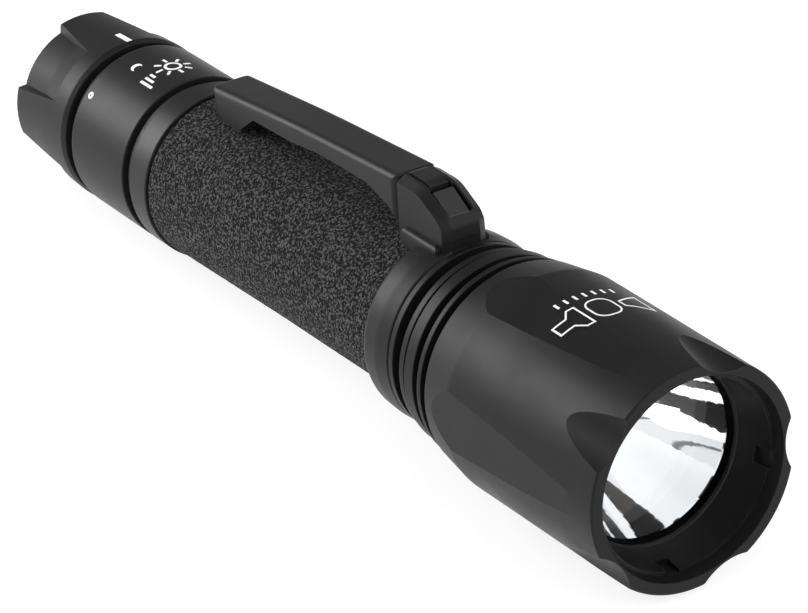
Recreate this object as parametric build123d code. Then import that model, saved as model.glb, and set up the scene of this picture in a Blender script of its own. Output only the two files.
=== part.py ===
from build123d import *
import math
import os

# Tactical flashlight. Lengths in millimetres. It is drawn with its axis on X, the front rim at
# x = 0 and the tail towards -X, and the pocket clip on the +Z side. Angles are in degrees about
# +X, from +Z towards -Y. Export moves the origin to the middle of the axis.

TOTAL_LENGTH = 150.8
RUNNING_GAP = 0.05
SNUG = 0.02

# Head
HEAD_R = 15.8
HEAD_FRONT_R = 15.6
RIM_INNER_R = 13.9
RIM_LIP = 1.4
RIM_ROUND = 0.35
BEZEL_BORE_R = 13.5
REFLECTOR_BORE_R = 13.0
PILL_BORE_R = 11.3
NECK_BORE_R = 11.0
HEAD_REAR = -48.1
CONE_FRONT = -31.2
CONE_REAR = -37.4
CONE_REAR_R = 14.85
# neck fins: (rear x, front x, radius)
FINS = [(-48.1, -47.1, 13.3), (-45.05, -44.0, 13.65), (-43.35, -41.4, 14.0), (-39.75, -38.9, 14.45)]
# neck groove floors, rear to front
GROOVE_FLOORS = [12.0, 13.0, 12.5, 12.8]
FIN_ROUND = 0.12
LOBES = 5
SCALLOP_PHASE = -18.0
SCALLOP_CUTTER_R = 7.5
SCALLOP_FLOOR_R = 14.25
SCALLOP_TILT = 10.0
FACET_PHASE = 18.0
FACET_REAR = -33.5
FACET_REAR_R = 15.2
FACET_FRONT = -11.0
FACET_FRONT_R = 15.48

# Optics and light engine
BEZEL_RING_FRONT = -1.6
BEZEL_RING_REAR = -7.2
BEZEL_RING_FRONT_R = 13.05
BEZEL_RING_REAR_R = 12.25
SPANNER_NOTCHES = 4
SPANNER_PHASE = -11.0
GASKET_REAR = -7.9
GASKET_INNER_R = 12.15
LENS_REAR = -9.9
LENS_R = 13.4
REFLECTOR_FLANGE_REAR = -10.6
REFLECTOR_MOUTH_R = 11.9
REFLECTOR_MOUTH_X = -10.2
REFLECTOR_HOLE_R = 3.5
REFLECTOR_HOLE_X = -25.4
REFLECTOR_FOOT_X = -25.9
REFLECTOR_WALL = 0.9
BOARD_FRONT = -26.0
BOARD_REAR = -27.6
BOARD_R = 8.0
EMITTER_SIZE = 3.45
EMITTER_THICK = 0.7
EMITTER_DOME_R = 1.3
PILL_REAR = -40.5
PILL_CAVITY_R = 9.0
PILL_CAVITY_FRONT = -32.0
WIRE_OFFSET = 5.4
WIRE_R = 0.45
DRIVER_FRONT = -39.3
DRIVER_R = 8.95
CONTACT_REAR = -45.0
CONTACT_R = 2.4
CONTACT_FLANGE_R = 3.6
CONTACT_FLANGE = 0.8
DRIVER_RING_INNER_R = 8.2
# driver parts: height, then the two plan sizes, then where they sit on the board
COIL_R = 2.6
COIL_HEIGHT = 3.0
CHIP_SIZE = (1.2, 3.8, 4.8)
CHIP_AT = (5.2, -1.5)
CAPACITOR_SIZE = (1.4, 2.4, 3.2)
CAPACITOR_AT = (-5.3, 1.0)

# Battery tube and what is on it
TUBE_FRONT = -42.0
TUBE_BORE_R = 9.45
TUBE_THREAD_R = 10.9
TUBE_R = 11.1
TUBE_FLANGE_FRONT = -111.8
TUBE_FLANGE_REAR = -116.2
TUBE_REAR = -124.4
TAIL_THREAD_R = 11.4
BODY_R = 12.7
HEAD_SEAL_FRONT = -44.4
HEAD_SEAL_REAR = -45.6
SEAL_FLOOR_R = 10.3
# grip outline, rear to front: (x, radius)
GRIP = [(-111.7, 12.4), (-84.0, 11.9), (-55.75, 11.65)]
GRIP_ROUND = 0.25
GRIP_WAIST_ROUND = 400.0
CELL_R = 9.3
CELL_FRONT = -46.2
CELL_REAR = -114.4
COLLAR_FRONT = -48.4
COLLAR_REAR = -55.6
COLLAR_REAR_R = 11.8
COLLAR_R = 13.3

# Pocket clip
CLIP_HALF_WIDTH = 3.4
BOSS_REAR = -59.35
BOSS_FRONT = -48.45
BOSS_ROOF = 20.05
# bends of the roof line, rear to front: (x, height, rounding)
ROOF_BENDS = [(-54.4, 20.05, 6.0), (-49.6, 17.55, 2.5), (-48.6, 16.2, 1.2), (-48.45, 14.6)]
BEVEL_DROP = 0.7
BEVEL_WIDTH = 1.2
BOSS_CLEAR_R = 12.05
FOOT_HALF_WIDTH = 4.3
FOOT_TOP = 13.7
FOOT_REAR = -57.7
FOOT_FRONT = -49.6
FOOT_ROUND = 0.8
SLOT_HALF_WIDTH = 1.7
SLOT_FRONT = -53.6
SLOT_FLOOR = 14.2
SLOT_RIB_REAR = -55.1
SLOT_RIB_TOP = 18.0
PIVOT_X = -57.4
PIVOT_Z = 17.6
PIVOT_R = 0.7
PIVOT_LENGTH = 5.0
LEAF_X = -57.8
LEAF_LENGTH = 2.8
LEAF_THICK = 0.3
ARM_FRONT = -59.85
ARM_TIP = -107.6
# arm, round from the front along the top to the tip and back underneath: (x, height, rounding)
ARM_SIDE = [
    (ARM_FRONT, 13.25), (ARM_FRONT, 20.05, 0.3), (-85.5, 18.5, 400.0), (ARM_TIP, 16.55, 1.0),
    (ARM_TIP, 15.3, 0.5), (-105.3, 10.0), (-99.6, 10.0), (-99.4, 12.6), (-95.8, 15.3, 1.2),
    (-86.0, 15.6, 20.0), (-79.0, 16.4, 20.0), (-67.0, 16.6, 8.0), (-61.4, 14.9, 2.0),
]
ARM_EDGE_ROUND = 1.1
ARM_EDGE_ABOVE = 17.0
ARM_TIP_ROUND = 2.2
PAD_CLEARANCE = 0.35
# tongue that carries the arm into the boss: (x, height, rounding)
TONGUE_SIDE = [
    (-61.85, 15.2), (-61.85, 19.8), (-59.85, 19.95), (-58.9, 20.3, 0.4), (-55.6, 20.3, 2.0),
    (-54.4, 19.9, 0.2), (-54.4, 19.1), (-56.3, 18.4, 0.4), (-56.3, 15.2, 0.8),
]
TONGUE_HALF_WIDTH = 1.45
BUTTON_REAR = -53.8
BUTTON_FRONT = -49.8
BUTTON_REAR_TOP = 19.65
BUTTON_FRONT_TOP = 17.3
BUTTON_BOTTOM = 15.3
BUTTON_WIDTH = 3.4
BUTTON_ROUND = 0.3
POCKET_GAP = 0.27
POCKET_FLOOR = 13.9
PAD_THICK = 0.3
PAD_R = 1.2

# Tail
SEAL_FRONT = -116.45
SEAL_REAR = -118.05
SEAL_R = 12.0
HOUSING_FRONT = -118.3
HOUSING_REAR = -133.5
HOUSING_ROUND = 0.8
HOUSING_BORE_REAR = -125.0
MODULE_BORE_R = 10.4
MODULE_SHOULDER = -131.0
NECK_R = 9.8
NECK_INNER_R = 8.3
NECK_REAR = -143.6
SELECTOR_SEAL_R = 11.7
SELECTOR_SEAL_LENGTH = 1.4
CAP_FRONT = -135.2
CAP_REAR = -150.8
CAP_FRONT_R = 12.75
CAP_FRONT_BEVEL = (0.9, 0.3)
CAP_END_R = 12.2
CAP_END_ROUND = 0.5
CAP_SHOULDER = -144.0
BUTTON_HOLE_R = 7.0
CAP_RECESS_FRONT = -146.2
CAP_RECESS_R = 9.6
SNAP_FRONT = -142.05
SNAP_REAR = -142.95
SNAP_INNER_R = 9.2
SNAP_OUTER_R = 10.4
POCKETS = 4
POCKET_PHASE = 45.0
POCKET_FLOOR_END_R = 10.65
POCKET_FLOOR_MIDDLE = (-143.2, 11.75)
POCKET_FRONT = -138.6
POCKET_FRONT_BLEND = 4.0
POCKET_WALL_LEAN = 50.0
POCKET_END_HALF_ANGLE = 29.0
POCKET_FRONT_HALF_ANGLE = 20.0
DETENT_X = -139.5
DETENT_BALL_R = 0.95
DETENT_BALL_AT = 9.25
DETENT_RACE_R = 10.3
DETENT_BAND_THICK = 0.26
TAIL_BUTTON_R = 6.9
TAIL_BUTTON_END = -149.3
BOOT_FLANGE_FRONT = -142.3
BOOT_FLANGE_REAR = -143.5
BOOT_INNER_R = 5.2
BOOT_CROWN_INSIDE = -146.3
PLUNGER_R = 2.4
PLUNGER_HEAD_R = 3.2
PLUNGER_FLANGE_R = 5.1
PLUNGER_FLANGE = 1.0
PLUNGER_FRONT = -135.5
SWITCH_REAR = -138.2
SWITCH_WELL = -133.4
SWITCH_R = 8.2
SWITCH_FRONT = -129.6
SWITCH_BOARD_FRONT = -128.4
SWITCH_RING_FRONT = -126.4
SWITCH_RING_INNER_R = 8.6
MODULE_GAP = 0.1
SPRING_WIRE_R = 0.45
SPRING_COIL_R = 6.4
SPRING_TURNS = 4.5

# Marks
MARK_HEIGHT = 0.04
INDEX_BAR = (3.6, 0.9)
INDEX_BAR_REAR = -139.7
INDEX_DOT_R = 0.55
INDEX_DOT_HOLE_R = 0.17
INDEX_DOT_X = -131.5
INDEX_DOT_ANGLE = 48.7
MODE_ICON_X = -124.0
MODE_ICON_ANGLE = 5.0
BEAM_ICON_X = -19.45
BEAM_ICON_ANGLE = -1.5
BEAM_STROKE = 0.24
TICKS = 7


def outline(points):
    """Closed face from (x, height) corners. A third number is the radius that rounds the corner."""
    corners = [Vector(p[0], p[1]) for p in points]
    radii = [p[2] if len(p) == 3 else 0.0 for p in points]
    starts = []
    middles = []
    ends = []
    for i, corner in enumerate(corners):
        back = (corners[i - 1] - corner).normalized()
        ahead = (corners[(i + 1) % len(corners)] - corner).normalized()
        if radii[i] == 0.0:
            starts.append(corner)
            middles.append(None)
            ends.append(corner)
            continue
        half = math.radians(back.get_angle(ahead)) / 2
        reach = radii[i] / math.tan(half)
        bisector = (back + ahead).normalized()
        centre = corner + bisector * (radii[i] / math.sin(half))
        starts.append(corner + back * reach)
        middles.append(centre - bisector * radii[i])
        ends.append(corner + ahead * reach)
    edges = []
    for i in range(len(corners)):
        if middles[i] is not None:
            edges.append(ThreePointArc(starts[i], middles[i], ends[i]))
        following = starts[(i + 1) % len(corners)]
        if (following - ends[i]).length > 1e-6:
            edges.append(Line(ends[i], following))
    return make_face(Curve() + edges)


def turned(points):
    """Body of revolution about the torch's axis from an (x, radius) outline."""
    return revolve(outline(points), axis=Axis.X, revolution_arc=360)


def tube(rear, front, outer, inner=0.0):
    return turned([(rear, inner), (rear, outer), (front, outer), (front, inner)])


def plate(points, half_width):
    """Side outline in the X-Z plane, given thickness each way along Y."""
    return extrude(Plane.XZ * outline(points), amount=half_width, both=True)


def about_axis(shape, angle):
    return Rot(angle, 0, 0) * shape


def around(shape, count, phase):
    return [about_axis(shape, phase + 360.0 * i / count) for i in range(count)]


# Head

def head_housing():
    outer = [(0.0, HEAD_FRONT_R, RIM_ROUND), (CONE_FRONT, HEAD_R, 4.0), (CONE_REAR, CONE_REAR_R, 0.3)]
    for fin, floor in zip(reversed(FINS), reversed(GROOVE_FLOORS)):
        rear, front, radius = fin
        previous = outer[-1][0]
        outer.append((previous, floor))
        outer.append((front, floor))
        outer.append((front, radius, FIN_ROUND))
        outer.append((rear, radius, FIN_ROUND))
    inner = [
        (HEAD_REAR, NECK_BORE_R),
        (PILL_REAR, NECK_BORE_R),
        (PILL_REAR, PILL_BORE_R),
        (BOARD_FRONT, PILL_BORE_R),
        (BOARD_FRONT, REFLECTOR_BORE_R),
        (REFLECTOR_FLANGE_REAR, REFLECTOR_BORE_R),
        (REFLECTOR_FLANGE_REAR, BEZEL_BORE_R),
        (-RIM_LIP, BEZEL_BORE_R),
        (0.0, RIM_INNER_R, 0.15),
    ]
    body = turned(outer + inner)
    cutter = Pos(0, 0, SCALLOP_FLOOR_R + SCALLOP_CUTTER_R) * Rot(0, 90 + SCALLOP_TILT, 0)
    scallop = cutter * Cylinder(SCALLOP_CUTTER_R, 4 * HEAD_R)
    body -= around(scallop, LOBES, SCALLOP_PHASE)
    slope = (FACET_FRONT_R - FACET_REAR_R) / (FACET_FRONT - FACET_REAR)
    reach = 6.0
    facet = plate(
        [
            (FACET_REAR - reach, FACET_REAR_R - slope * reach),
            (FACET_REAR - reach, HEAD_R + reach),
            (FACET_FRONT + reach, HEAD_R + reach),
            (FACET_FRONT + reach, FACET_FRONT_R + slope * reach),
        ],
        HEAD_R / 2,
    )
    body -= around(facet, LOBES, FACET_PHASE)
    return body


def bezel_ring():
    ring = turned(
        [
            (BEZEL_RING_REAR, BEZEL_RING_REAR_R),
            (BEZEL_RING_REAR, BEZEL_BORE_R),
            (BEZEL_RING_FRONT, BEZEL_BORE_R),
            (BEZEL_RING_FRONT, BEZEL_RING_FRONT_R),
        ]
    )
    notch_depth = 2.6
    notch_width = 2.2
    notch = Pos(BEZEL_RING_FRONT, 0, BEZEL_RING_FRONT_R) * Box(2 * notch_depth, notch_width, 1.6)
    return ring - around(notch, SPANNER_NOTCHES, SPANNER_PHASE)


def lens_gasket():
    return turned(
        [
            (GASKET_REAR, GASKET_INNER_R),
            (GASKET_REAR, BEZEL_BORE_R),
            (BEZEL_RING_REAR, BEZEL_BORE_R),
            (BEZEL_RING_REAR, GASKET_INNER_R, 0.2),
        ]
    )


def lens():
    edge = 0.25
    return turned(
        [
            (LENS_REAR, 0.0),
            (LENS_REAR, LENS_R - edge),
            (LENS_REAR + edge, LENS_R),
            (GASKET_REAR - edge, LENS_R),
            (GASKET_REAR, LENS_R - edge),
            (GASKET_REAR, 0.0),
        ]
    )


def reflector():
    mouth_area = REFLECTOR_MOUTH_R**2
    hole_area = REFLECTOR_HOLE_R**2
    growth = (mouth_area - hole_area) / (REFLECTOR_MOUTH_X - REFLECTOR_HOLE_X)
    steps = 12
    bowl = []
    for i in range(steps + 1):
        radius = REFLECTOR_HOLE_R + (REFLECTOR_MOUTH_R - REFLECTOR_HOLE_R) * i / steps
        x = REFLECTOR_HOLE_X + (radius**2 - hole_area) / growth
        bowl.append((x, radius))
    back_x = REFLECTOR_FLANGE_REAR - 3.0
    rim = Line((REFLECTOR_MOUTH_X, REFLECTOR_MOUTH_R), (LENS_REAR, REFLECTOR_MOUTH_R))
    outside = Polyline(
        (LENS_REAR, REFLECTOR_MOUTH_R),
        (LENS_REAR, LENS_R),
        (REFLECTOR_FLANGE_REAR, LENS_R),
        (REFLECTOR_FLANGE_REAR, REFLECTOR_BORE_R - RUNNING_GAP),
        (back_x, REFLECTOR_BORE_R - RUNNING_GAP),
        (back_x - 8.0, BOARD_R + 2.0),
        (REFLECTOR_FOOT_X, BOARD_R - 1.5),
        (REFLECTOR_FOOT_X, REFLECTOR_HOLE_R),
        (REFLECTOR_HOLE_X, REFLECTOR_HOLE_R),
    )
    face = make_face(Curve() + [Spline(*bowl), rim, outside])
    return revolve(face, axis=Axis.X, revolution_arc=360)


def emitter_gasket():
    return tube(BOARD_FRONT, REFLECTOR_HOLE_X + 0.3, REFLECTOR_HOLE_R - RUNNING_GAP, 2.5)


def led_emitter():
    top = BOARD_FRONT + EMITTER_THICK
    base = Pos((BOARD_FRONT + top) / 2, 0, 0) * Box(EMITTER_THICK, EMITTER_SIZE, EMITTER_SIZE)
    dome = Pos(top, 0, 0) * Sphere(EMITTER_DOME_R)
    front_half = Pos(top + EMITTER_DOME_R, 0, 0) * Box(2 * EMITTER_DOME_R, 3, 3)
    return base + (dome & front_half)


def led_board():
    board = tube(BOARD_REAR, BOARD_FRONT, BOARD_R)
    wire_slot = Pos(BOARD_FRONT, 0, BOARD_R) * Box(8, 2.4, 2 * (BOARD_R - WIRE_OFFSET) + 1.2)
    return board - around(wire_slot, 2, 0.0)


def led_pill():
    outer_r = PILL_BORE_R - SNUG
    pill = turned(
        [
            (PILL_REAR, PILL_CAVITY_R),
            (PILL_REAR, outer_r),
            (BOARD_REAR, outer_r),
            (BOARD_REAR, 0.0),
            (PILL_CAVITY_FRONT, 0.0),
            (PILL_CAVITY_FRONT, PILL_CAVITY_R),
        ]
    )
    length = 2 * (BOARD_REAR - PILL_CAVITY_FRONT)
    wire_hole = Pos(BOARD_REAR, 0, WIRE_OFFSET) * Rot(0, 90, 0) * Cylinder(2 * WIRE_R, 2 * length)
    return pill - around(wire_hole, 2, 0.0)


def led_wires():
    wire = Pos(0, 0, WIRE_OFFSET) * Rot(0, 90, 0) * Cylinder(WIRE_R, BOARD_FRONT - DRIVER_FRONT)
    return Compound(children=around(Pos((BOARD_FRONT + DRIVER_FRONT) / 2, 0, 0) * wire, 2, 0.0))


def driver_board():
    return tube(PILL_REAR, DRIVER_FRONT, DRIVER_R)


def driver_parts():
    coil = Pos(DRIVER_FRONT + COIL_HEIGHT / 2, 0, 0) * Rot(0, 90, 0) * Cylinder(COIL_R, COIL_HEIGHT)
    chip = Pos(DRIVER_FRONT + CHIP_SIZE[0] / 2, *CHIP_AT) * Box(*CHIP_SIZE)
    capacitor = Pos(DRIVER_FRONT + CAPACITOR_SIZE[0] / 2, *CAPACITOR_AT) * Box(*CAPACITOR_SIZE)
    return Compound(children=[coil, chip, capacitor])


def driver_ring():
    rear = PILL_REAR - 1.0
    notch_size = 1.6
    ring = tube(rear, PILL_REAR, NECK_BORE_R - SNUG, DRIVER_RING_INNER_R)
    notch = Pos(rear, 0, DRIVER_RING_INNER_R) * Box(1.2, notch_size, notch_size)
    return ring - around(notch, 2, 90.0)


def front_contact():
    return turned(
        [
            (CONTACT_REAR, 0.0),
            (CONTACT_REAR, CONTACT_R, 0.3),
            (PILL_REAR - CONTACT_FLANGE, CONTACT_R),
            (PILL_REAR - CONTACT_FLANGE, CONTACT_FLANGE_R),
            (PILL_REAR, CONTACT_FLANGE_R),
            (PILL_REAR, 0.0),
        ]
    )


# Battery tube

def battery_tube():
    lead = 0.4
    return turned(
        [
            (TUBE_FRONT, TUBE_BORE_R),
            (TUBE_FRONT, TUBE_THREAD_R - lead),
            (TUBE_FRONT - lead, TUBE_THREAD_R),
            (HEAD_SEAL_FRONT, TUBE_THREAD_R),
            (HEAD_SEAL_FRONT, SEAL_FLOOR_R),
            (HEAD_SEAL_REAR, SEAL_FLOOR_R),
            (HEAD_SEAL_REAR, TUBE_THREAD_R),
            (HEAD_REAR, TUBE_THREAD_R),
            (HEAD_REAR, TUBE_R),
            (TUBE_FLANGE_FRONT, TUBE_R),
            (TUBE_FLANGE_FRONT, BODY_R, 0.2),
            (TUBE_FLANGE_REAR, BODY_R, 0.2),
            (TUBE_FLANGE_REAR, TAIL_THREAD_R),
            (TUBE_REAR + lead, TAIL_THREAD_R),
            (TUBE_REAR, TAIL_THREAD_R - lead),
            (TUBE_REAR, TUBE_BORE_R),
        ]
    )


def head_o_ring():
    side_gap = 0.1
    return tube(
        HEAD_SEAL_REAR + side_gap, HEAD_SEAL_FRONT - side_gap, NECK_BORE_R - SNUG, SEAL_FLOOR_R + SNUG
    )


def grip_sleeve():
    (rear, rear_r), (waist, waist_r), (front, front_r) = GRIP
    return turned(
        [
            (rear, TUBE_R + SNUG),
            (rear, rear_r, GRIP_ROUND),
            (waist, waist_r, GRIP_WAIST_ROUND),
            (front, front_r, GRIP_ROUND),
            (front, TUBE_R + SNUG),
        ]
    )


def battery_cell():
    return turned(
        [
            (CELL_REAR, 0.0),
            (CELL_REAR, CELL_R, 0.6),
            (CELL_FRONT - 1.8, CELL_R),
            (CELL_FRONT - 1.8, CELL_R - 0.35),
            (CELL_FRONT - 1.2, CELL_R - 0.35),
            (CELL_FRONT - 1.2, CELL_R),
            (CELL_FRONT, CELL_R, 0.6),
            (CELL_FRONT, 0.0),
        ]
    )


def battery_terminal():
    return turned(
        [
            (CELL_FRONT, 0.0),
            (CELL_FRONT, 3.8),
            (CELL_FRONT + 0.3, 3.8),
            (CELL_FRONT + 0.3, 2.9),
            (CONTACT_REAR, 2.6),
            (CONTACT_REAR, 0.0),
        ]
    )


def battery_insulator():
    return tube(CELL_FRONT, CELL_FRONT + 0.4, CELL_R - 0.7, 4.1)


# Pocket clip

def boss():
    """Hinge block: flat cheeks, broad bevels and a roof that falls away to the nose."""
    side = [(BOSS_REAR, 0.0), (BOSS_REAR, BOSS_ROOF)] + ROOF_BENDS + [(BOSS_FRONT, 0.0)]
    block = plate(side, CLIP_HALF_WIDTH)
    for direction in (-1, 1):
        cheek = block.faces().sort_by(Axis.Y)[0 if direction < 0 else -1]
        roof_edges = [
            e
            for e in cheek.edges()
            if e.center().Z > FOOT_TOP and BOSS_REAR + 0.1 < e.center().X < BOSS_FRONT - 0.1
        ]
        block = chamfer(roof_edges, BEVEL_DROP, BEVEL_WIDTH, reference=cheek)
    return block


def clip_collar():
    ring = turned(
        [
            (COLLAR_REAR, TUBE_R + SNUG),
            (COLLAR_REAR, COLLAR_REAR_R, 0.15),
            (COLLAR_REAR + 1.6, COLLAR_R, 1.6),
            (COLLAR_FRONT - 2.6, COLLAR_R + 0.15, 4.0),
            (COLLAR_FRONT, COLLAR_R - 0.05, 0.25),
            (COLLAR_FRONT, TUBE_R + SNUG),
        ]
    )
    foot = plate(
        [(FOOT_REAR, 0.0), (FOOT_REAR, FOOT_TOP), (FOOT_FRONT, FOOT_TOP), (FOOT_FRONT, 0.0)],
        FOOT_HALF_WIDTH,
    )
    foot = fillet([e for e in foot.edges() if e.center().Z > FOOT_TOP - 0.1], FOOT_ROUND)
    above = boss() + foot
    above -= tube(2 * COLLAR_REAR, COLLAR_REAR, BOSS_CLEAR_R)
    above -= tube(2 * COLLAR_REAR, 0.0, TUBE_R + SNUG)
    slot = plate(
        [
            (BOSS_REAR - 1.0, SLOT_FLOOR),
            (BOSS_REAR - 1.0, 2 * HEAD_R),
            (SLOT_FRONT, 2 * HEAD_R),
            (SLOT_FRONT, SLOT_RIB_TOP),
            (SLOT_RIB_REAR, SLOT_RIB_TOP),
            (SLOT_RIB_REAR, SLOT_FLOOR, 0.5),
        ],
        SLOT_HALF_WIDTH,
    )
    length = BUTTON_FRONT - BUTTON_REAR + 2 * POCKET_GAP
    width = BUTTON_WIDTH + 2 * POCKET_GAP
    middle = (BUTTON_FRONT + BUTTON_REAR) / 2
    plan = RectangleRounded(length, width, BUTTON_ROUND + POCKET_GAP)
    pocket = Pos(middle, 0, POCKET_FLOOR) * extrude(plan, amount=HEAD_R)
    return ring + above - slot - pocket - clip_pin()


def clip_pin():
    return Pos(PIVOT_X, 0, PIVOT_Z) * Rot(90, 0, 0) * Cylinder(PIVOT_R, PIVOT_LENGTH)


def clip_spring():
    leaf = Box(LEAF_LENGTH, 2 * TONGUE_HALF_WIDTH, LEAF_THICK)
    return Pos(LEAF_X, 0, SLOT_FLOOR + LEAF_THICK / 2) * leaf


def clip_arm():
    blade = plate(ARM_SIDE, CLIP_HALF_WIDTH)
    top_edges = [
        e
        for e in blade.edges()
        if abs(abs(e.center().Y) - CLIP_HALF_WIDTH) < 0.01
        and e.center().Z > ARM_EDGE_ABOVE
        and ARM_TIP + 0.5 < e.center().X < ARM_FRONT - 0.2
    ]
    blade = fillet(top_edges, ARM_EDGE_ROUND)
    length = 2 * (ARM_FRONT - ARM_TIP)
    plan = RectangleRounded(length, 2 * CLIP_HALF_WIDTH, ARM_TIP_ROUND)
    blade &= extrude(Pos(ARM_TIP + length / 2, 0, 0) * plan, amount=2 * HEAD_R)
    over_grip = [(x, radius + PAD_CLEARANCE) for x, radius in GRIP]
    blade -= turned([(GRIP[0][0], 0.0)] + over_grip + [(GRIP[-1][0], 0.0)])
    tongue = plate(TONGUE_SIDE, TONGUE_HALF_WIDTH)
    pin_hole = Rot(90, 0, 0) * Cylinder(PIVOT_R + RUNNING_GAP, 2 * PIVOT_LENGTH)
    return (blade + tongue) - Pos(PIVOT_X, 0, PIVOT_Z) * pin_hole


def release_button():
    block = plate(
        [
            (BUTTON_REAR, BUTTON_BOTTOM),
            (BUTTON_REAR, BUTTON_REAR_TOP),
            (BUTTON_FRONT, BUTTON_FRONT_TOP),
            (BUTTON_FRONT, BUTTON_BOTTOM),
        ],
        BUTTON_WIDTH / 2,
    )
    top_edges = block.faces().sort_by(Axis.Z)[-1].edges()
    return fillet(block.edges().filter_by(Axis.Z) + top_edges, BUTTON_ROUND)


def button_pad():
    middle = (BUTTON_FRONT + BUTTON_REAR) / 2
    return Pos(middle, 0, POCKET_FLOOR + PAD_THICK / 2) * Cylinder(PAD_R, PAD_THICK)


# Tail

def tail_o_ring():
    return turned(
        [
            (SEAL_REAR, TAIL_THREAD_R + RUNNING_GAP),
            (SEAL_REAR, SEAL_R, 0.5),
            (SEAL_FRONT, SEAL_R, 0.5),
            (SEAL_FRONT, TAIL_THREAD_R + RUNNING_GAP),
        ]
    )


def switch_housing():
    body = turned(
        [
            (HOUSING_FRONT, TAIL_THREAD_R + RUNNING_GAP),
            (HOUSING_FRONT, BODY_R, 0.2),
            (HOUSING_REAR, BODY_R, HOUSING_ROUND),
            (HOUSING_REAR, NECK_R),
            (SNAP_FRONT, NECK_R),
            (SNAP_FRONT, SNAP_INNER_R),
            (SNAP_REAR, SNAP_INNER_R),
            (SNAP_REAR, NECK_R),
            (NECK_REAR, NECK_R),
            (NECK_REAR, NECK_INNER_R),
            (MODULE_SHOULDER, NECK_INNER_R),
            (MODULE_SHOULDER, MODULE_BORE_R),
            (HOUSING_BORE_REAR, MODULE_BORE_R),
            (HOUSING_BORE_REAR, TAIL_THREAD_R + RUNNING_GAP),
        ]
    )
    ball_hole = Pos(DETENT_X, 0, -NECK_R) * Cylinder(DETENT_BALL_R + RUNNING_GAP, 4.0)
    return body - ball_hole


def selector_seal():
    rear = HOUSING_REAR - SELECTOR_SEAL_LENGTH
    return turned(
        [
            (rear, NECK_R),
            (rear, SELECTOR_SEAL_R, 0.5),
            (HOUSING_REAR, SELECTOR_SEAL_R, 0.5),
            (HOUSING_REAR, NECK_R),
        ]
    )


def snap_ring():
    ring = tube(SNAP_REAR + 0.05, SNAP_FRONT - 0.05, SNAP_OUTER_R - 0.1, SNAP_INNER_R)
    gap = Pos(SNAP_REAR, 0, SNAP_OUTER_R) * Box(4, 2.4, 5)
    return ring - gap


def detent_ball():
    return Pos(DETENT_X, 0, -DETENT_BALL_AT) * Sphere(DETENT_BALL_R)


def detent_band():
    outer_r = NECK_INNER_R - SNUG
    band = tube(DETENT_X - 0.8, DETENT_X + 0.8, outer_r, outer_r - DETENT_BAND_THICK)
    gap = Pos(DETENT_X, 0, NECK_INNER_R) * Box(4, 3.0, 3.0)
    return band - gap


def switch_body():
    module_r = MODULE_BORE_R - MODULE_GAP
    well_r = PLUNGER_R + RUNNING_GAP
    return turned(
        [
            (SWITCH_REAR, well_r),
            (SWITCH_REAR, SWITCH_R, 0.5),
            (MODULE_SHOULDER, SWITCH_R),
            (MODULE_SHOULDER, module_r),
            (SWITCH_FRONT, module_r),
            (SWITCH_FRONT, 0.0),
            (SWITCH_WELL, 0.0),
            (SWITCH_WELL, well_r),
        ]
    )


def switch_board():
    return tube(SWITCH_FRONT, SWITCH_BOARD_FRONT, MODULE_BORE_R - MODULE_GAP)


def switch_ring():
    outer_r = MODULE_BORE_R - RUNNING_GAP
    ring = tube(SWITCH_BOARD_FRONT, SWITCH_RING_FRONT, outer_r, SWITCH_RING_INNER_R)
    notch = Pos(SWITCH_RING_FRONT, 0, SWITCH_RING_INNER_R) * Box(2.0, 1.8, 1.8)
    return ring - around(notch, 2, 0.0)


def tail_spring():
    height = CELL_REAR - SWITCH_BOARD_FRONT - 2 * SPRING_WIRE_R
    path = Helix(pitch=height / SPRING_TURNS, height=height, radius=SPRING_COIL_R)
    section = Plane(origin=path @ 0, z_dir=path % 0) * Circle(SPRING_WIRE_R)
    coil = sweep(section, path=path)
    return Pos(SWITCH_BOARD_FRONT + SPRING_WIRE_R, 0, 0) * Rot(0, 90, 0) * coil


def selector_cap():
    bore_r = NECK_R + RUNNING_GAP
    bevel_length, bevel_drop = CAP_FRONT_BEVEL
    race_half = DETENT_BALL_R + 0.1
    body = turned(
        [
            (CAP_FRONT, bore_r),
            (CAP_FRONT, CAP_FRONT_R - bevel_drop, 0.2),
            (CAP_FRONT - bevel_length, CAP_FRONT_R, 0.8),
            (CAP_REAR, CAP_END_R, CAP_END_ROUND),
            (CAP_REAR, CAP_RECESS_R, 0.5),
            (CAP_RECESS_FRONT, BUTTON_HOLE_R + 0.6, 0.3),
            (CAP_RECESS_FRONT, BUTTON_HOLE_R),
            (CAP_SHOULDER, BUTTON_HOLE_R),
            (CAP_SHOULDER, bore_r),
            (SNAP_REAR, bore_r),
            (SNAP_REAR, SNAP_OUTER_R),
            (SNAP_FRONT, SNAP_OUTER_R),
            (SNAP_FRONT, bore_r),
            (DETENT_X - race_half, bore_r),
            (DETENT_X - race_half, DETENT_RACE_R),
            (DETENT_X + race_half, DETENT_RACE_R),
            (DETENT_X + race_half, bore_r),
        ]
    )
    return body - around(tail_pocket(), POCKETS, POCKET_PHASE)


def trough_section(x, radius, half_angle):
    """Cross-section whose leaning walls meet the given radius at the half angle."""
    edge_y = radius * math.sin(math.radians(half_angle))
    edge_z = radius * math.cos(math.radians(half_angle))
    lean = math.tan(math.radians(POCKET_WALL_LEAN))
    below = 2.5
    above = 5.0
    section = make_face(
        Polyline(
            (-edge_y + below * lean, edge_z - below),
            (edge_y - below * lean, edge_z - below),
            (edge_y + above * lean, edge_z + above),
            (-edge_y - above * lean, edge_z + above),
            close=True,
        )
    )
    return Plane.YZ.offset(x) * section


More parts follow.
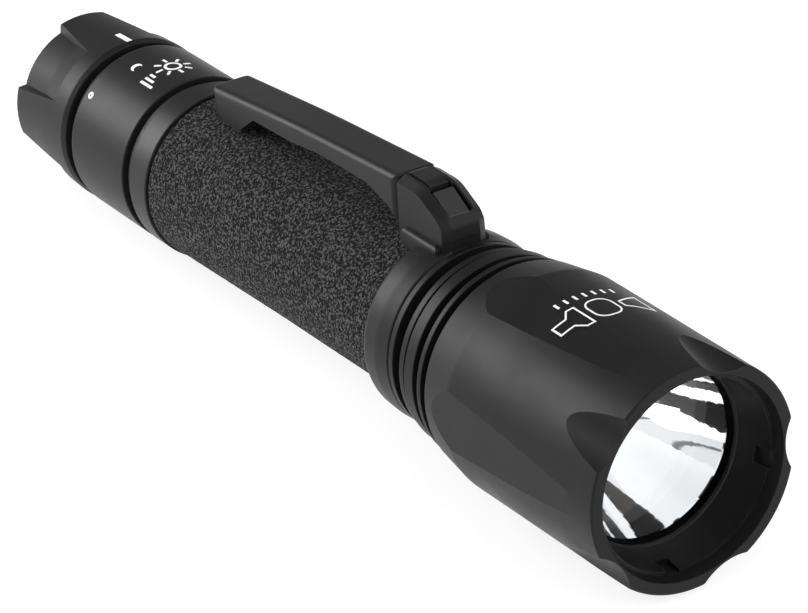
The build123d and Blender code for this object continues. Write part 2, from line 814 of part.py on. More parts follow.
def tail_pocket():
    """Thumb pocket: a trough that widens to the tail, cut down to a convex floor."""
    past = CAP_REAR - 1.0
    wedge = loft(
        [
            trough_section(past, CAP_END_R, POCKET_END_HALF_ANGLE),
            trough_section(POCKET_FRONT, CAP_FRONT_R, POCKET_FRONT_HALF_ANGLE),
        ],
        ruled=True,
    )
    floor = turned(
        [
            (past - 1.0, 0.0),
            (past - 1.0, POCKET_FLOOR_END_R - 0.1),
            POCKET_FLOOR_MIDDLE + (12.0,),
            (POCKET_FRONT, CAP_FRONT_R + 0.05, POCKET_FRONT_BLEND),
            (POCKET_FRONT + 1.5, CAP_FRONT_R + 1.4),
            (POCKET_FRONT + 1.5, 0.0),
        ]
    )
    return wedge - floor


def button_boot():
    flange_r = NECK_INNER_R - 0.1
    return turned(
        [
            (BOOT_FLANGE_FRONT, BOOT_INNER_R),
            (BOOT_FLANGE_FRONT, flange_r),
            (BOOT_FLANGE_REAR, flange_r),
            (BOOT_FLANGE_REAR, TAIL_BUTTON_R),
            (TAIL_BUTTON_END + 0.9, TAIL_BUTTON_R, 1.0),
            (TAIL_BUTTON_END, 4.0, 6.0),
            (TAIL_BUTTON_END - 0.1, 0.0),
            (BOOT_CROWN_INSIDE, 0.0),
            (BOOT_CROWN_INSIDE, BOOT_INNER_R, 0.8),
        ]
    )


def button_plunger():
    return turned(
        [
            (BOOT_CROWN_INSIDE, 0.0),
            (BOOT_CROWN_INSIDE, PLUNGER_HEAD_R),
            (BOOT_FLANGE_FRONT, PLUNGER_HEAD_R),
            (BOOT_FLANGE_FRONT, PLUNGER_FLANGE_R),
            (BOOT_FLANGE_FRONT + PLUNGER_FLANGE, PLUNGER_FLANGE_R),
            (BOOT_FLANGE_FRONT + PLUNGER_FLANGE, PLUNGER_R),
            (PLUNGER_FRONT, PLUNGER_R, 0.3),
            (PLUNGER_FRONT, 0.0),
        ]
    )


# Marks, printed a hair above the surface

def raised(sketch, angle, rear, front, rear_r, front_r):
    """Wrap a plan-view sketch on to the turned surface between two stations."""
    prism = about_axis(extrude(sketch, amount=2 * HEAD_R), angle)
    skin = turned(
        [
            (rear, rear_r - MARK_HEIGHT),
            (rear, rear_r + MARK_HEIGHT),
            (front, front_r + MARK_HEIGHT),
            (front, front_r - MARK_HEIGHT),
        ]
    )
    base = turned([(rear, 0.0), (rear, rear_r), (front, front_r), (front, 0.0)])
    return (prism & skin) - base


def cap_radius(x):
    front = CAP_FRONT - CAP_FRONT_BEVEL[0]
    return CAP_FRONT_R + (CAP_END_R - CAP_FRONT_R) * (x - front) / (CAP_REAR - front)


def head_radius(x):
    return HEAD_FRONT_R + (HEAD_R - HEAD_FRONT_R) * x / CONE_FRONT


def index_bar():
    length, width = INDEX_BAR
    rear = INDEX_BAR_REAR
    front = rear + length
    sketch = Pos((rear + front) / 2, 0, 0) * Rectangle(length, width)
    return raised(sketch, 0.0, rear, front, cap_radius(rear), cap_radius(front))


def index_dot():
    ring = Circle(INDEX_DOT_R) - Circle(INDEX_DOT_HOLE_R)
    sketch = Pos(INDEX_DOT_X, 0, 0) * ring
    return raised(sketch, INDEX_DOT_ANGLE, INDEX_DOT_X - 1, INDEX_DOT_X + 1, BODY_R, BODY_R)


def mode_icon():
    """Lamp with rays, three rising brightness bars and a small moon, on the switch housing."""
    line = 0.42
    lamp = Circle(1.35) - Circle(1.35 - line)
    ray = Pos(2.3, 0, 0) * Rectangle(1.1, line)
    shapes = [lamp] + [Rot(0, 0, 45.0 * i) * ray for i in range(8)]
    shapes = [Pos(-0.2, 1.45, 0) * shape for shape in shapes]
    for i in range(3):
        bar_length = 1.3 + 0.9 * i
        shapes.append(Pos(bar_length / 2 - 0.5, -2.2 - 0.85 * i, 0) * Rectangle(bar_length, line))
    moon = Circle(0.85) - Pos(0.5, 0, 0) * Circle(0.7)
    shapes.append(Pos(-4.2, -2.4, 0) * moon)
    sketch = Pos(MODE_ICON_X, 0, 0) * (Sketch() + shapes)
    rear = MODE_ICON_X - 6
    front = MODE_ICON_X + 4
    return raised(sketch, MODE_ICON_ANGLE, rear, front, BODY_R, BODY_R)


def beam_icon():
    """Outlined lamp, lens and beam in a row round the head, with a row of ticks behind them."""
    half = 2.45
    lamp = make_face(
        Polyline(
            (-1.1, -6.8), (1.1, -6.8), (1.1, -4.7), (half, -3.7), (half, -2.4),
            (-half, -2.4), (-half, -3.7), (-1.1, -4.7),
            close=True,
        )
    )
    lens = Pos(0, 0.45, 0) * RectangleRounded(2 * half, 4.0, 1.7)
    lens_centre = Pos(0, 0.45, 0) * Ellipse(1.3, 0.85)
    beam = make_face(
        Polyline((-0.8, 3.2), (0.8, 3.2), (half, 6.9), (-half, 6.9), close=True)
    )
    outlines = [face - offset(face, -BEAM_STROKE) for face in (lamp, lens, lens_centre, beam)]
    tick = Rectangle(1.1, 0.34)
    first = -3.8
    pitch = 1.42
    ticks = [Pos(-4.1, first + pitch * i, 0) * tick for i in range(TICKS)]
    sketch = Pos(BEAM_ICON_X, 0, 0) * (Sketch() + outlines + ticks)
    rear = BEAM_ICON_X - 6
    front = BEAM_ICON_X + 4
    return raised(sketch, BEAM_ICON_ANGLE, rear, front, head_radius(rear), head_radius(front))


NODES = [
    head_housing, bezel_ring, lens_gasket, lens, reflector, emitter_gasket, led_emitter,
    led_board, led_pill, led_wires, driver_board, driver_parts, driver_ring, front_contact,
    battery_tube, head_o_ring, grip_sleeve, battery_cell, battery_terminal, battery_insulator,
    clip_collar, clip_pin, clip_spring, clip_arm, release_button, button_pad,
    tail_o_ring, switch_housing, selector_seal, snap_ring, detent_ball, detent_band,
    switch_body, switch_board, switch_ring, tail_spring, selector_cap, button_boot,
    button_plunger, index_bar, index_dot, mode_icon, beam_icon,
]

os.makedirs("parts", exist_ok=True)
for node in NODES:
    export_step(Pos(TOTAL_LENGTH / 2, 0, 0) * node(), f"parts/{node.__name__}.step")
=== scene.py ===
import math

import bpy
from mathutils import Matrix, Vector, noise


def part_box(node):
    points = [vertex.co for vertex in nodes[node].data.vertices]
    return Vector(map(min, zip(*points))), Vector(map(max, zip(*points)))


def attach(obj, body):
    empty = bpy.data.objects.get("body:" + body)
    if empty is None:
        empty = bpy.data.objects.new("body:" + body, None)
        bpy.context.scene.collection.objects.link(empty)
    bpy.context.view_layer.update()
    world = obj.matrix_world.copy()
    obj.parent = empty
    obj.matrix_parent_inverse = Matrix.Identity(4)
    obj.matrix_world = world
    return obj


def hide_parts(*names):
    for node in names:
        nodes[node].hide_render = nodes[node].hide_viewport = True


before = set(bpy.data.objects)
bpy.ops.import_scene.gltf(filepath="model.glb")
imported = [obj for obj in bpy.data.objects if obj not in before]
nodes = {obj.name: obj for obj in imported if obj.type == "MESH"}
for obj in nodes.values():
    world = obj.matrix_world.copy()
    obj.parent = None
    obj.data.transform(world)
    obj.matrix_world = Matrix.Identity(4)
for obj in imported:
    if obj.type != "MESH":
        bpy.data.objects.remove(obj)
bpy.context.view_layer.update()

MM = 0.001
FULL_TURN = 2 * math.pi
MIDDLE = 75.4  # the row's origin is this far behind the front rim, in millimetres
THREAD_PITCH = 1.5  # millimetres

# foam sleeve, in millimetres
GRIP_REAR_R = 12.4
GRIP_WAIST_R = 11.9
GRIP_FRONT_R = 11.65
GRIP_WAIST_BEHIND_RIM = 84.0
GRIP_BORE_R = 11.12
GRIP_LIP = 0.30
LUMP_DEPTH = 0.060
WAVE_DEPTH = 0.020

# studio: lamps in watts, world and floor in units of white
LEFT_SOFTBOX_POWER = 7.4
FRONT_SOFTBOX_POWER = 3.4
TENT_GREY = 0.42
SEAM_LEVEL = 0.22
SEAMS_PER_RADIAN = 21.0
FLOOR_GLOW = 0.80
FLOOR_REACH = 3.0


# ---------------------------------------------------------------- node helpers

class Shader:
    """A node material, built through a few short calls."""

    def __init__(self, name):
        self.mat = bpy.data.materials.new(name)
        self.mat.use_nodes = True
        self.tree = self.mat.node_tree
        self.bsdf = self.tree.nodes["Principled BSDF"]
        coords = self.new("ShaderNodeTexCoord")
        scale = self.new("ShaderNodeVectorMath", operation="SCALE")
        scale.inputs["Scale"].default_value = 1000.0
        self.link(coords.outputs["Object"], scale.inputs[0])
        self.mm = scale.outputs[0]

    def new(self, kind, **settings):
        node = self.tree.nodes.new(kind)
        for key, value in settings.items():
            setattr(node, key, value)
        return node

    def link(self, a, b):
        self.tree.links.new(a, b)

    def plug(self, value, socket):
        if isinstance(value, bpy.types.NodeSocket):
            self.link(value, socket)
        else:
            socket.default_value = value

    def set(self, **values):
        for key, value in values.items():
            self.plug(value, self.bsdf.inputs[key.replace("_", " ")])
        return self

    def noise(self, scale, detail=2.0, rough=0.5, where=None, distortion=0.0):
        n = self.new("ShaderNodeTexNoise")
        self.link(where or self.mm, n.inputs["Vector"])
        n.inputs["Scale"].default_value = scale
        n.inputs["Detail"].default_value = detail
        n.inputs["Roughness"].default_value = rough
        n.inputs["Distortion"].default_value = distortion
        return n.outputs["Fac"]

    def cells(self, scale, feature="F1", where=None, randomness=1.0):
        n = self.new("ShaderNodeTexVoronoi", feature=feature)
        self.link(where or self.mm, n.inputs["Vector"])
        n.inputs["Scale"].default_value = scale
        n.inputs["Randomness"].default_value = randomness
        return n.outputs["Distance"]

    def span(self, value, a, b, c=0.0, d=1.0, clamp=True):
        n = self.new("ShaderNodeMapRange", clamp=clamp)
        self.link(value, n.inputs["Value"])
        for key, number in zip(("From Min", "From Max", "To Min", "To Max"), (a, b, c, d)):
            n.inputs[key].default_value = number
        return n.outputs["Result"]

    def math(self, operation, a, b=0.0, c=0.0):
        n = self.new("ShaderNodeMath", operation=operation)
        for value, socket in zip((a, b, c), n.inputs):
            self.plug(value, socket)
        return n.outputs[0]

    def mix(self, fac, a, b):
        n = self.new("ShaderNodeMix", data_type="RGBA")
        self.plug(fac, n.inputs["Factor"])
        self.plug(a, n.inputs[6])
        self.plug(b, n.inputs[7])
        return n.outputs[2]

    def split(self, vector=None):
        n = self.new("ShaderNodeSeparateXYZ")
        self.link(vector or self.mm, n.inputs[0])
        return n.outputs

    def radius(self):
        """Distance from the torch's axis, in millimetres."""
        _, y, z = self.split()
        return self.math("SQRT", self.math("ADD", self.math("MULTIPLY", y, y),
                                           self.math("MULTIPLY", z, z)))

    def edge(self, width, low=0.02, high=0.3):
        """1 on convex edges narrower than width (mm), 0 on open faces."""
        bevel = self.new("ShaderNodeBevel", samples=6)
        bevel.inputs["Radius"].default_value = width * MM
        geometry = self.new("ShaderNodeNewGeometry")
        dot = self.new("ShaderNodeVectorMath", operation="DOT_PRODUCT")
        self.link(bevel.outputs["Normal"], dot.inputs[0])
        self.link(geometry.outputs["Normal"], dot.inputs[1])
        turn = self.math("SUBTRACT", 1.0, dot.outputs["Value"])
        convex = self.span(geometry.outputs["Pointiness"], 0.49, 0.52)
        return self.math("MULTIPLY", self.span(turn, low, high), convex)

    def bump(self, height, distance, strength=1.0, before=None):
        n = self.new("ShaderNodeBump")
        n.inputs["Strength"].default_value = strength
        n.inputs["Distance"].default_value = distance * MM
        self.link(height, n.inputs["Height"])
        if before is not None:
            self.link(before, n.inputs["Normal"])
        return n.outputs["Normal"]


def grey(value, warm=0.0):
    return (value * (1 + warm), value, value * (1 - warm), 1.0)


# ---------------------------------------------------------------- materials

def anodised(name, tone=0.011, rough=0.40, grain=1.0):
    """Matt black hard anodise over a bead-blasted surface."""
    s = Shader(name)
    cloud = s.noise(0.11, 3.0, 0.55)
    speck = s.noise(7.0, 2.0, 0.6)
    blast = s.noise(4.2, 3.0, 0.65)
    pits = s.cells(5.5)
    colour = s.mix(s.span(cloud, 0.35, 0.68), (tone * 0.82, tone * 0.82, tone * 0.90, 1.0),
                   (tone * 1.12, tone * 1.12, tone * 1.16, 1.0))
    colour = s.mix(s.span(speck, 0.60, 0.80, 0.0, 0.35), colour, grey(tone * 3.0))
    # Convex edges lightened towards grey and made smoother: partly edge wear, partly a painted
    # highlight along the edges
    wear_and_edge_highlight = s.math("MULTIPLY", s.edge(0.25), s.span(s.noise(0.8, 3.0), 0.36, 0.62, 0.25, 1.0))
    colour = s.mix(s.math("MULTIPLY", wear_and_edge_highlight, 0.45), colour, grey(0.085, 0.01))
    roughness = s.math("ADD", s.span(cloud, 0.3, 0.7, rough - 0.04, rough + 0.05),
                       s.span(speck, 0.3, 0.8, -0.05, 0.07))
    roughness = s.math("SUBTRACT", roughness, s.math("MULTIPLY", wear_and_edge_highlight, 0.08))
    height = s.math("ADD", s.math("MULTIPLY", blast, 0.7), s.math("MULTIPLY", pits, 0.3))
    s.set(Base_Color=colour, Roughness=roughness, Normal=s.bump(height, 0.020 * grain, 0.55))
    s.set(IOR=1.46)
    s.bsdf.inputs["Specular IOR Level"].default_value = 0.22
    return s.mat


def grip_foam():
    s = Shader("grip_foam")
    warp = s.new("ShaderNodeTexNoise")
    s.link(s.mm, warp.inputs["Vector"])
    warp.inputs["Scale"].default_value = 2.2
    add = s.new("ShaderNodeVectorMath", operation="MULTIPLY_ADD")
    s.link(warp.outputs["Color"], add.inputs[0])
    add.inputs[1].default_value = (0.35, 0.35, 0.35)
    s.link(s.mm, add.inputs[2])
    grains = s.cells(2.6, "SMOOTH_F1", add.outputs[0])
    pores = s.noise(3.0, 3.0, 0.62, add.outputs[0])
    fine = s.noise(9.0, 2.0, 0.6)
    lump = s.math("SUBTRACT", s.span(pores, 0.32, 0.68), s.math("MULTIPLY", grains, 0.75))
    height = s.math("ADD", lump, s.math("MULTIPLY", fine, 0.18))
    # Painted light and shade: lump crests coloured light grey as a painted highlight, crevices near
    # black as painted shade
    painted_crest_light = s.span(height, 0.26, 0.52)
    colour = s.mix(painted_crest_light, grey(0.0006), grey(0.135))
    s.set(Base_Color=colour, Roughness=s.span(painted_crest_light, 0.0, 1.0, 0.85, 0.55),
          Normal=s.bump(height, 0.36, 1.0))
    s.set(IOR=1.5)
    s.bsdf.inputs["Specular IOR Level"].default_value = 0.12
    s.bsdf.inputs["Sheen Weight"].default_value = 0.05
    s.bsdf.inputs["Sheen Roughness"].default_value = 0.5
    return s.mat


def rubber(name, tone=0.014, rough=0.5):
    s = Shader(name)
    dust = s.noise(1.3, 4.0, 0.6)
    skin = s.noise(9.0, 2.0, 0.6)
    colour = s.mix(s.span(dust, 0.45, 0.75), grey(tone), grey(tone * 2.2, 0.01))
    s.set(Base_Color=colour, Roughness=s.span(dust, 0.3, 0.7, rough - 0.08, rough + 0.1),
          Normal=s.bump(skin, 0.012, 0.5))
    return s.mat


def boot_rubber():
    """Tail button: moulded rubber with a ring of fine grip dots round a plain middle."""
    s = Shader("boot_rubber")
    radius = s.radius()
    dots = s.span(s.cells(1.1, randomness=0.15), 0.18, 0.32, 1.0, 0.0)
    band = s.math("MULTIPLY", s.span(radius, 2.2, 2.6), s.span(radius, 5.2, 5.6, 1.0, 0.0))
    dust = s.noise(1.1, 4.0, 0.6)
    colour = s.mix(s.span(dust, 0.42, 0.75), grey(0.012), grey(0.026, 0.01))
    first = s.bump(s.math("MULTIPLY", dots, band), 0.18, 0.8)
    s.set(Base_Color=colour, Roughness=s.span(dust, 0.3, 0.7, 0.5, 0.68),
          Normal=s.bump(s.noise(8.0, 2.0), 0.012, 0.5, first))
    return s.mat


def plastic(name, colour, rough=0.45, vary=0.25):
    s = Shader(name)
    cloud = s.noise(0.5, 3.0)
    spark = s.noise(6.0, 3.0, 0.6)
    dark = tuple(c * (1 - vary) for c in colour) + (1.0,)
    s.set(Base_Color=s.mix(cloud, dark, tuple(colour) + (1.0,)),
          Roughness=s.span(spark, 0.3, 0.7, rough - 0.06, rough + 0.08),
          Normal=s.bump(spark, 0.015, 0.5))
    return s.mat


def metal(name, colour, rough=0.3, turned=0.0, vary=0.12):
    """Bare or plated metal. turned adds the fine rings of a lathe."""
    s = Shader(name)
    cloud = s.noise(0.6, 4.0, 0.6)
    stain = s.noise(2.4, 3.0, 0.6)
    dark = tuple(c * (1 - vary) for c in colour) + (1.0,)
    tint = s.mix(s.span(cloud, 0.35, 0.7), dark, tuple(colour) + (1.0,))
    height = s.noise(6.0, 3.0, 0.6)
    if turned:
        rings = s.math("SINE", s.math("MULTIPLY", s.split()[0], turned * FULL_TURN))
        faces = s.math("SINE", s.math("MULTIPLY", s.radius(), turned * FULL_TURN))
        height = s.math("ADD", height, s.math("MULTIPLY", s.math("ADD", rings, faces), 0.35))
    s.set(Base_Color=tint, Roughness=s.span(stain, 0.3, 0.75, rough - 0.07, rough + 0.1),
          Normal=s.bump(height, 0.006, 0.5))
    s.bsdf.inputs["Metallic"].default_value = 1.0
    return s.mat


def threaded_tube():
    """Anodised tube whose two screw ends are cut with a 1.5 mm thread and left bare."""
    s = Shader("threaded_tube")
    x, y, z = s.split()
    turn = s.math("DIVIDE", s.math("ARCTAN2", y, z), FULL_TURN)
    helix = s.math("ADD", s.math("DIVIDE", x, THREAD_PITCH), turn)
    ridge = s.math("PINGPONG", helix, 0.5)
    behind = s.span(x, MIDDLE - 116.3, MIDDLE - 116.2, 1.0, 0.0)
    front = s.span(x, MIDDLE - 48.1, MIDDLE - 48.0)
    outside = s.span(s.radius(), 9.9, 10.1)
    mask = s.math("MULTIPLY", s.math("ADD", behind, front), outside)
    cloud = s.noise(0.11, 3.0, 0.55)
    speck = s.noise(7.0, 2.0, 0.6)
    black = s.mix(s.span(cloud, 0.35, 0.68), (0.009, 0.009, 0.010, 1), (0.013, 0.013, 0.014, 1))
    bare = s.mix(s.noise(3.0, 3.0), (0.38, 0.38, 0.39, 1), (0.52, 0.52, 0.53, 1))
    s.set(Base_Color=s.mix(mask, black, bare),
          Metallic=mask,
          Roughness=s.math("ADD", s.span(speck, 0.3, 0.8, 0.36, 0.46),
                           s.math("MULTIPLY", mask, -0.1)))
    fine = s.bump(s.noise(4.2, 3.0, 0.65), 0.020, 0.5)
    s.set(Normal=s.bump(s.math("MULTIPLY", ridge, mask), 0.7, 0.9, fine), IOR=1.46)
    s.bsdf.inputs["Specular IOR Level"].default_value = 0.3
    return s.mat


def lens_glass():
    s = Shader("lens_glass")
    smear = s.noise(0.35, 4.0, 0.6, distortion=0.4)
    s.set(Base_Color=(0.985, 0.995, 1.0, 1.0), Roughness=s.span(smear, 0.5, 0.85, 0.0, 0.02))
    s.bsdf.inputs["Transmission Weight"].default_value = 1.0
    s.bsdf.inputs["IOR"].default_value = 1.46
    s.bsdf.inputs["Thin Film Thickness"].default_value = 110.0
    s.bsdf.inputs["Thin Film IOR"].default_value = 1.38
    return s.mat


def reflector_mirror():
    """Vapour-plated bowl: one bright mirror finish all over."""
    s = Shader("reflector_mirror")
    ripple = s.noise(0.30, 2.0, 0.5)
    haze = s.noise(1.4, 4.0, 0.6)
    s.set(Base_Color=s.mix(haze, (0.93, 0.93, 0.94, 1), (0.97, 0.97, 0.97, 1)),
          Roughness=s.span(haze, 0.3, 0.8, 0.02, 0.05), Normal=s.bump(ripple, 0.02, 0.2))
    s.bsdf.inputs["Metallic"].default_value = 1.0
    return s.mat


def led_face():
    """White ceramic carrier, yellow phosphor square under a clear dome."""
    s = Shader("led_face")
    _, y, z = s.split()
    square = s.math("MAXIMUM", s.math("ABSOLUTE", y), s.math("ABSOLUTE", z))
    lit = s.span(square, 1.12, 1.22, 1.0, 0.0)
    grainy = s.noise(9.0, 3.0)
    yellow = s.mix(grainy, (0.83, 0.62, 0.06, 1), (0.95, 0.78, 0.16, 1))
    s.set(Base_Color=s.mix(lit, (0.82, 0.82, 0.78, 1), yellow),
          Roughness=s.span(grainy, 0.3, 0.7, 0.18, 0.3),
          Normal=s.bump(grainy, 0.006, 0.4))
    s.bsdf.inputs["Coat Weight"].default_value = 0.8
    s.bsdf.inputs["Coat Roughness"].default_value = 0.04
    return s.mat


def circuit_board():
    """Green solder mask with tracks and tinned pads."""
    s = Shader("circuit_board")
    tracks = s.span(s.cells(0.55, "DISTANCE_TO_EDGE"), 0.03, 0.07, 1.0, 0.0)
    pads = s.span(s.cells(0.42, randomness=0.6), 0.16, 0.2, 1.0, 0.0)
    green = s.mix(tracks, (0.012, 0.10, 0.045, 1), (0.03, 0.19, 0.08, 1))
    colour = s.mix(pads, green, (0.62, 0.62, 0.60, 1))
    s.set(Base_Color=colour, Roughness=s.math("MULTIPLY_ADD", pads, -0.1, 0.36),
          Metallic=pads, Normal=s.bump(s.math("MAXIMUM", tracks, pads), 0.04, 0.6))
    return s.mat


def cell_wrap():
    """Printed shrink wrap: a plain band near each end and a fine shrink ripple."""
    s = Shader("cell_wrap")
    x = s.split()[0]
    front = s.span(x, MIDDLE - 56.0, MIDDLE - 55.8)
    rear = s.span(x, MIDDLE - 108.2, MIDDLE - 108.0, 1.0, 0.0)
    ends = s.span(s.radius(), 8.4, 8.6, 1.0, 0.0)
    ripple = s.noise(0.9, 3.0, 0.6)
    colour = s.mix(s.math("MAXIMUM", front, rear), (0.04, 0.12, 0.30, 1), (0.75, 0.76, 0.78, 1))
    colour = s.mix(ends, colour, (0.55, 0.56, 0.57, 1))
    s.set(Base_Color=colour, Metallic=ends,
          Roughness=s.span(ripple, 0.3, 0.7, 0.25, 0.4), Normal=s.bump(ripple, 0.03, 0.5))
    return s.mat


def mark_white():
    """Laser mark: pale and slightly broken where the blasted surface shows through."""
    s = Shader("mark_white")
    broken = s.noise(6.0, 4.0, 0.7)
    s.set(Base_Color=s.mix(s.span(broken, 0.30, 0.46), grey(0.45), grey(0.92)),
          Roughness=s.span(broken, 0.3, 0.7, 0.5, 0.7), Normal=s.bump(broken, 0.015, 0.5))
    # Painted glow: the marks give off a little light of their own, though they are no lamp
    s.bsdf.inputs["Emission Color"].default_value = (1, 1, 1, 1)
    s.bsdf.inputs["Emission Strength"].default_value = 0.15
    return s.mat


def board_white():
    s = Shader("board_white")
    radius = s.radius()
    pads = s.span(s.cells(0.5, randomness=0.4), 0.18, 0.22, 1.0, 0.0)
    haze = s.noise(1.5, 3.0)
    rim = s.span(radius, 7.7, 7.8)
    metal_mask = s.math("MAXIMUM", pads, rim)
    s.set(Base_Color=s.mix(metal_mask, s.mix(haze, (0.78, 0.78, 0.76, 1), (0.86, 0.86, 0.84, 1)),
                           (0.66, 0.64, 0.60, 1)),
          Metallic=metal_mask, Roughness=s.span(haze, 0.3, 0.7, 0.28, 0.4),
          Normal=s.bump(pads, 0.03, 0.5))
    return s.mat


body_black = anodised("anodised_black")
head_black = anodised("anodised_head", tone=0.008, rough=0.42)
# Painted shade: a darker copy of the head's anodise, used on the bezel ring to make it look shaded
bezel_black_painted_shade = anodised("anodised_bezel_painted_shade", tone=0.004, rough=0.36)
clip_black = anodised("clip_black", tone=0.014, rough=0.37, grain=0.6)
seal_black = rubber("seal_rubber", 0.006, 0.55)
brass = metal("brass_turned", (0.72, 0.52, 0.24), 0.28, turned=3.0)
spring = metal("spring_steel", (0.42, 0.42, 0.43), 0.30, vary=0.3)
plated = metal("plated_steel", (0.74, 0.73, 0.70), 0.20)

FINISH = {
    "head_housing": head_black, "bezel_ring": bezel_black_painted_shade, "lens_gasket": seal_black,
    "lens": lens_glass(), "reflector": reflector_mirror(),
    "emitter_gasket": plastic("gasket_white", (0.80, 0.80, 0.77), 0.5, 0.08),
    "led_emitter": led_face(), "led_board": board_white(), "led_pill": brass,
    "led_wires": plastic("wire_red", (0.55, 0.03, 0.02), 0.45),
    "driver_board": circuit_board(), "driver_parts": plastic("chip_black", (0.03, 0.03, 0.03), 0.4),
    "driver_ring": brass, "front_contact": brass, "battery_tube": threaded_tube(),
    "head_o_ring": seal_black, "battery_cell": cell_wrap(), "battery_terminal": plated,
    "battery_insulator": plastic("insulator_white", (0.82, 0.82, 0.80), 0.5, 0.08),
    "clip_collar": body_black, "clip_pin": spring, "clip_spring": spring,
    "clip_arm": clip_black, "release_button": plastic("button_black", (0.030, 0.030, 0.032), 0.42),
    "button_pad": seal_black, "tail_o_ring": seal_black, "switch_housing": body_black,
    "selector_seal": seal_black, "snap_ring": spring, "detent_ball": plated,
    "detent_band": spring, "switch_body": plastic("switch_black", (0.035, 0.035, 0.038), 0.42),
    "switch_board": circuit_board(), "switch_ring": brass, "tail_spring": plated,
    "selector_cap": body_black, "button_boot": boot_rubber(),
    "button_plunger": plastic("plunger_white", (0.78, 0.78, 0.75), 0.45, 0.1),
    "index_bar": mark_white(), "index_dot": mark_white(), "mode_icon": mark_white(),
    "beam_icon": mark_white(),
}

for name, mat in FINISH.items():
    mesh = nodes[name].data
    mesh.materials.clear()
    mesh.materials.append(mat)


# ---------------------------------------------------------------- grip sleeve

def pebbled_sleeve():
    """Foam sleeve with a lumpy, open-cell skin and softly rounded ends."""
    low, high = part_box("grip_sleeve")
    rear_r, waist_r, front_r = GRIP_REAR_R * MM, GRIP_WAIST_R * MM, GRIP_FRONT_R * MM
    waist = (MIDDLE - GRIP_WAIST_BEHIND_RIM) * MM
    inner = GRIP_BORE_R * MM
    around, along = 330, 236
    verts = []
    faces = []
    length = high.x - low.x
    for j in range(along + 1):
        t = j / along
        x = low.x + length * t
        edge = min(t, 1 - t) * length
        if x < waist:
            outer = rear_r + (waist_r - rear_r) * (x - low.x) / (waist - low.x)
        else:
            outer = waist_r + (front_r - waist_r) * (x - waist) / (high.x - waist)
        soft = GRIP_LIP * MM
        lip = soft - math.sqrt(max(soft * soft - max(soft - edge, 0.0) ** 2, 0.0))
        for i in range(around):
            a = FULL_TURN * i / around
            p = Vector((x, outer * math.cos(a), outer * math.sin(a))) * 1000
            lump = noise.fractal(p * 1.5, 1.0, 2.1, 3)
            wave = noise.noise(p * 0.12)
            dip = LUMP_DEPTH * (0.5 - 0.5 * max(-1.0, min(1.0, lump * 1.6)))
            dip += WAVE_DEPTH * (1 - wave)
            r = outer - lip - dip * MM
            verts.append((x, r * math.cos(a), r * math.sin(a)))
    for j in range(along):
        for i in range(around):
            k = (i + 1) % around
            faces.append((j * around + i, (j + 1) * around + i, (j + 1) * around + k,
                          j * around + k))
    for j in (0, along):
        start = j * around
        ring = len(verts)
        x = low.x if j == 0 else high.x
        for i in range(around):
            a = FULL_TURN * i / around
            verts.append((x, inner * math.cos(a), inner * math.sin(a)))
        for i in range(around):
            k = (i + 1) % around
            face = (start + i, start + k, ring + k, ring + i)
            faces.append(face if j == 0 else face[::-1])
    mesh = bpy.data.meshes.new("grip_skin")
    mesh.from_pydata(verts, [], faces)
    mesh.validate()
    mesh.shade_smooth()
    mesh.materials.append(grip_foam())
    obj = bpy.data.objects.new("grip_skin", mesh)
    bpy.context.scene.collection.objects.link(obj)
    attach(obj, "torch")
    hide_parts("grip_sleeve")


pebbled_sleeve()


# ---------------------------------------------------------------- studio

def area(name, place, target, size, power):
    data = bpy.data.lights.new(name, "AREA")
    data.shape = "RECTANGLE"
    data.size = size
    data.size_y = size
    data.energy = power
    obj = bpy.data.objects.new(name, data)
    obj.location = place
    obj.rotation_mode = "QUATERNION"
    obj.rotation_quaternion = (Vector(target) - Vector(place)).to_track_quat("-Z", "Y")
    bpy.context.scene.collection.objects.link(obj)


def floor():
    """Pale sheet under the torch, leaning by the angle at which head and tail both touch it."""
    head = Vector((0.0442, 0.0, -0.0158))
    tail = Vector((-0.06125, 0.0, -0.01275))
    lean = (head - tail).normalized()
    middle = (head + tail) / 2
    mesh = bpy.data.meshes.new("floor")
    side = Vector((0, 1, 0))
    corners = [middle + (lean * a + side * b) * FLOOR_REACH
               for a, b in ((-1, -1), (1, -1), (1, 1), (-1, 1))]
    mesh.from_pydata([tuple(c) for c in corners], [], [(0, 1, 2, 3)])
    s = Shader("floor_white")
    cloud = s.noise(0.01, 2.0)
    s.set(Base_Color=s.mix(cloud, (0.34, 0.34, 0.34, 1), (0.37, 0.37, 0.37, 1)), Roughness=0.9)
    s.bsdf.inputs["Emission Color"].default_value = (1, 1, 1, 1)
    s.bsdf.inputs["Emission Strength"].default_value = FLOOR_GLOW
    mesh.materials.append(s.mat)
    obj = bpy.data.objects.new("floor", mesh)
    bpy.context.scene.collection.objects.link(obj)


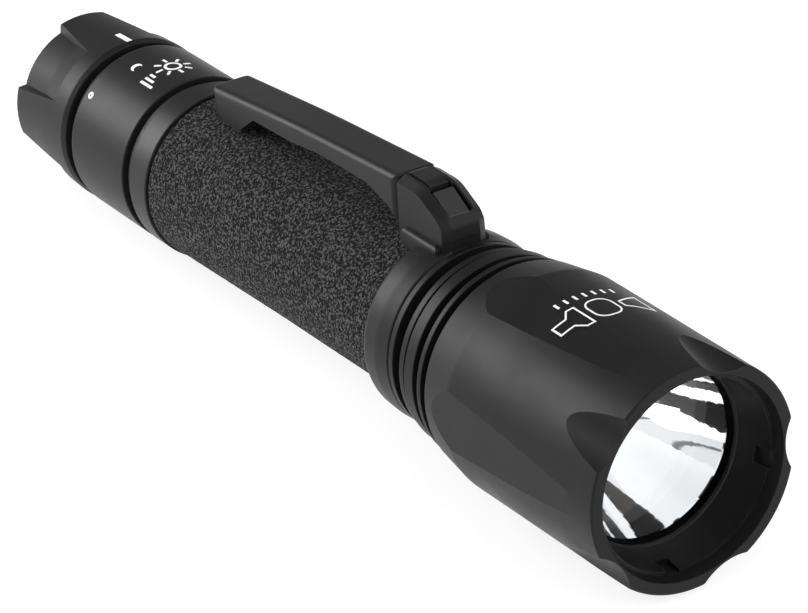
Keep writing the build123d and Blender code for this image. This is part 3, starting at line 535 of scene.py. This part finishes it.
def light_tent():
    """Grey tent with dark seams that turns white in front of the lens."""
    world = bpy.data.worlds.new("studio")
    bpy.context.scene.world = world
    world.use_nodes = True
    tree = world.node_tree

    def span(source, *numbers):
        node = tree.nodes.new("ShaderNodeMapRange")
        tree.links.new(source, node.inputs["Value"])
        for key, number in zip(("From Min", "From Max", "To Min", "To Max"), numbers):
            node.inputs[key].default_value = number
        return node.outputs["Result"]

    def math_node(operation, first, second=None):
        node = tree.nodes.new("ShaderNodeMath")
        node.operation = operation
        tree.links.new(first, node.inputs[0])
        if isinstance(second, float):
            node.inputs[1].default_value = second
        elif second is not None:
            tree.links.new(second, node.inputs[1])
        return node.outputs[0]

    coords = tree.nodes.new("ShaderNodeTexCoord")
    split = tree.nodes.new("ShaderNodeSeparateXYZ")
    tree.links.new(coords.outputs["Generated"], split.inputs[0])
    tent = span(split.outputs["X"], 0.0, 0.5, TENT_GREY, 1.0)
    wave = math_node("SINE", math_node("MULTIPLY", split.outputs["Y"], SEAMS_PER_RADIAN))
    seams = span(wave, 0.86, 0.97, 1.0, SEAM_LEVEL)
    background = tree.nodes["Background"]
    background.inputs["Color"].default_value = (1, 1, 1, 1)
    tree.links.new(math_node("MULTIPLY", tent, seams), background.inputs["Strength"])


floor()
light_tent()
bpy.context.scene.view_settings.view_transform = "Standard"

area("left_softbox", (-0.755, -0.521, 0.405), (0, 0, 0), 0.55, LEFT_SOFTBOX_POWER)
area("front_softbox", (0.9, 0.25, 0.75), (0.05, 0, 0), 0.7, FRONT_SOFTBOX_POWER)


def camera():
    data = bpy.data.cameras.new("camera")
    data.sensor_width = 36.0
    data.lens = 178.2178
    data.clip_start = 0.01
    obj = bpy.data.objects.new("camera", data)
    right = Vector((0.552056, 0.832445, -0.047643))
    upward = Vector((-0.358388, 0.28849, 0.88788))
    forward = Vector((-0.752856, 0.473085, -0.457601))
    place = Matrix((right, upward, -forward)).transposed().to_4x4()
    place.translation = Vector((0.416460, -0.254914, 0.244379))
    obj.matrix_world = place
    bpy.context.scene.collection.objects.link(obj)
    bpy.context.scene.camera = obj


camera()
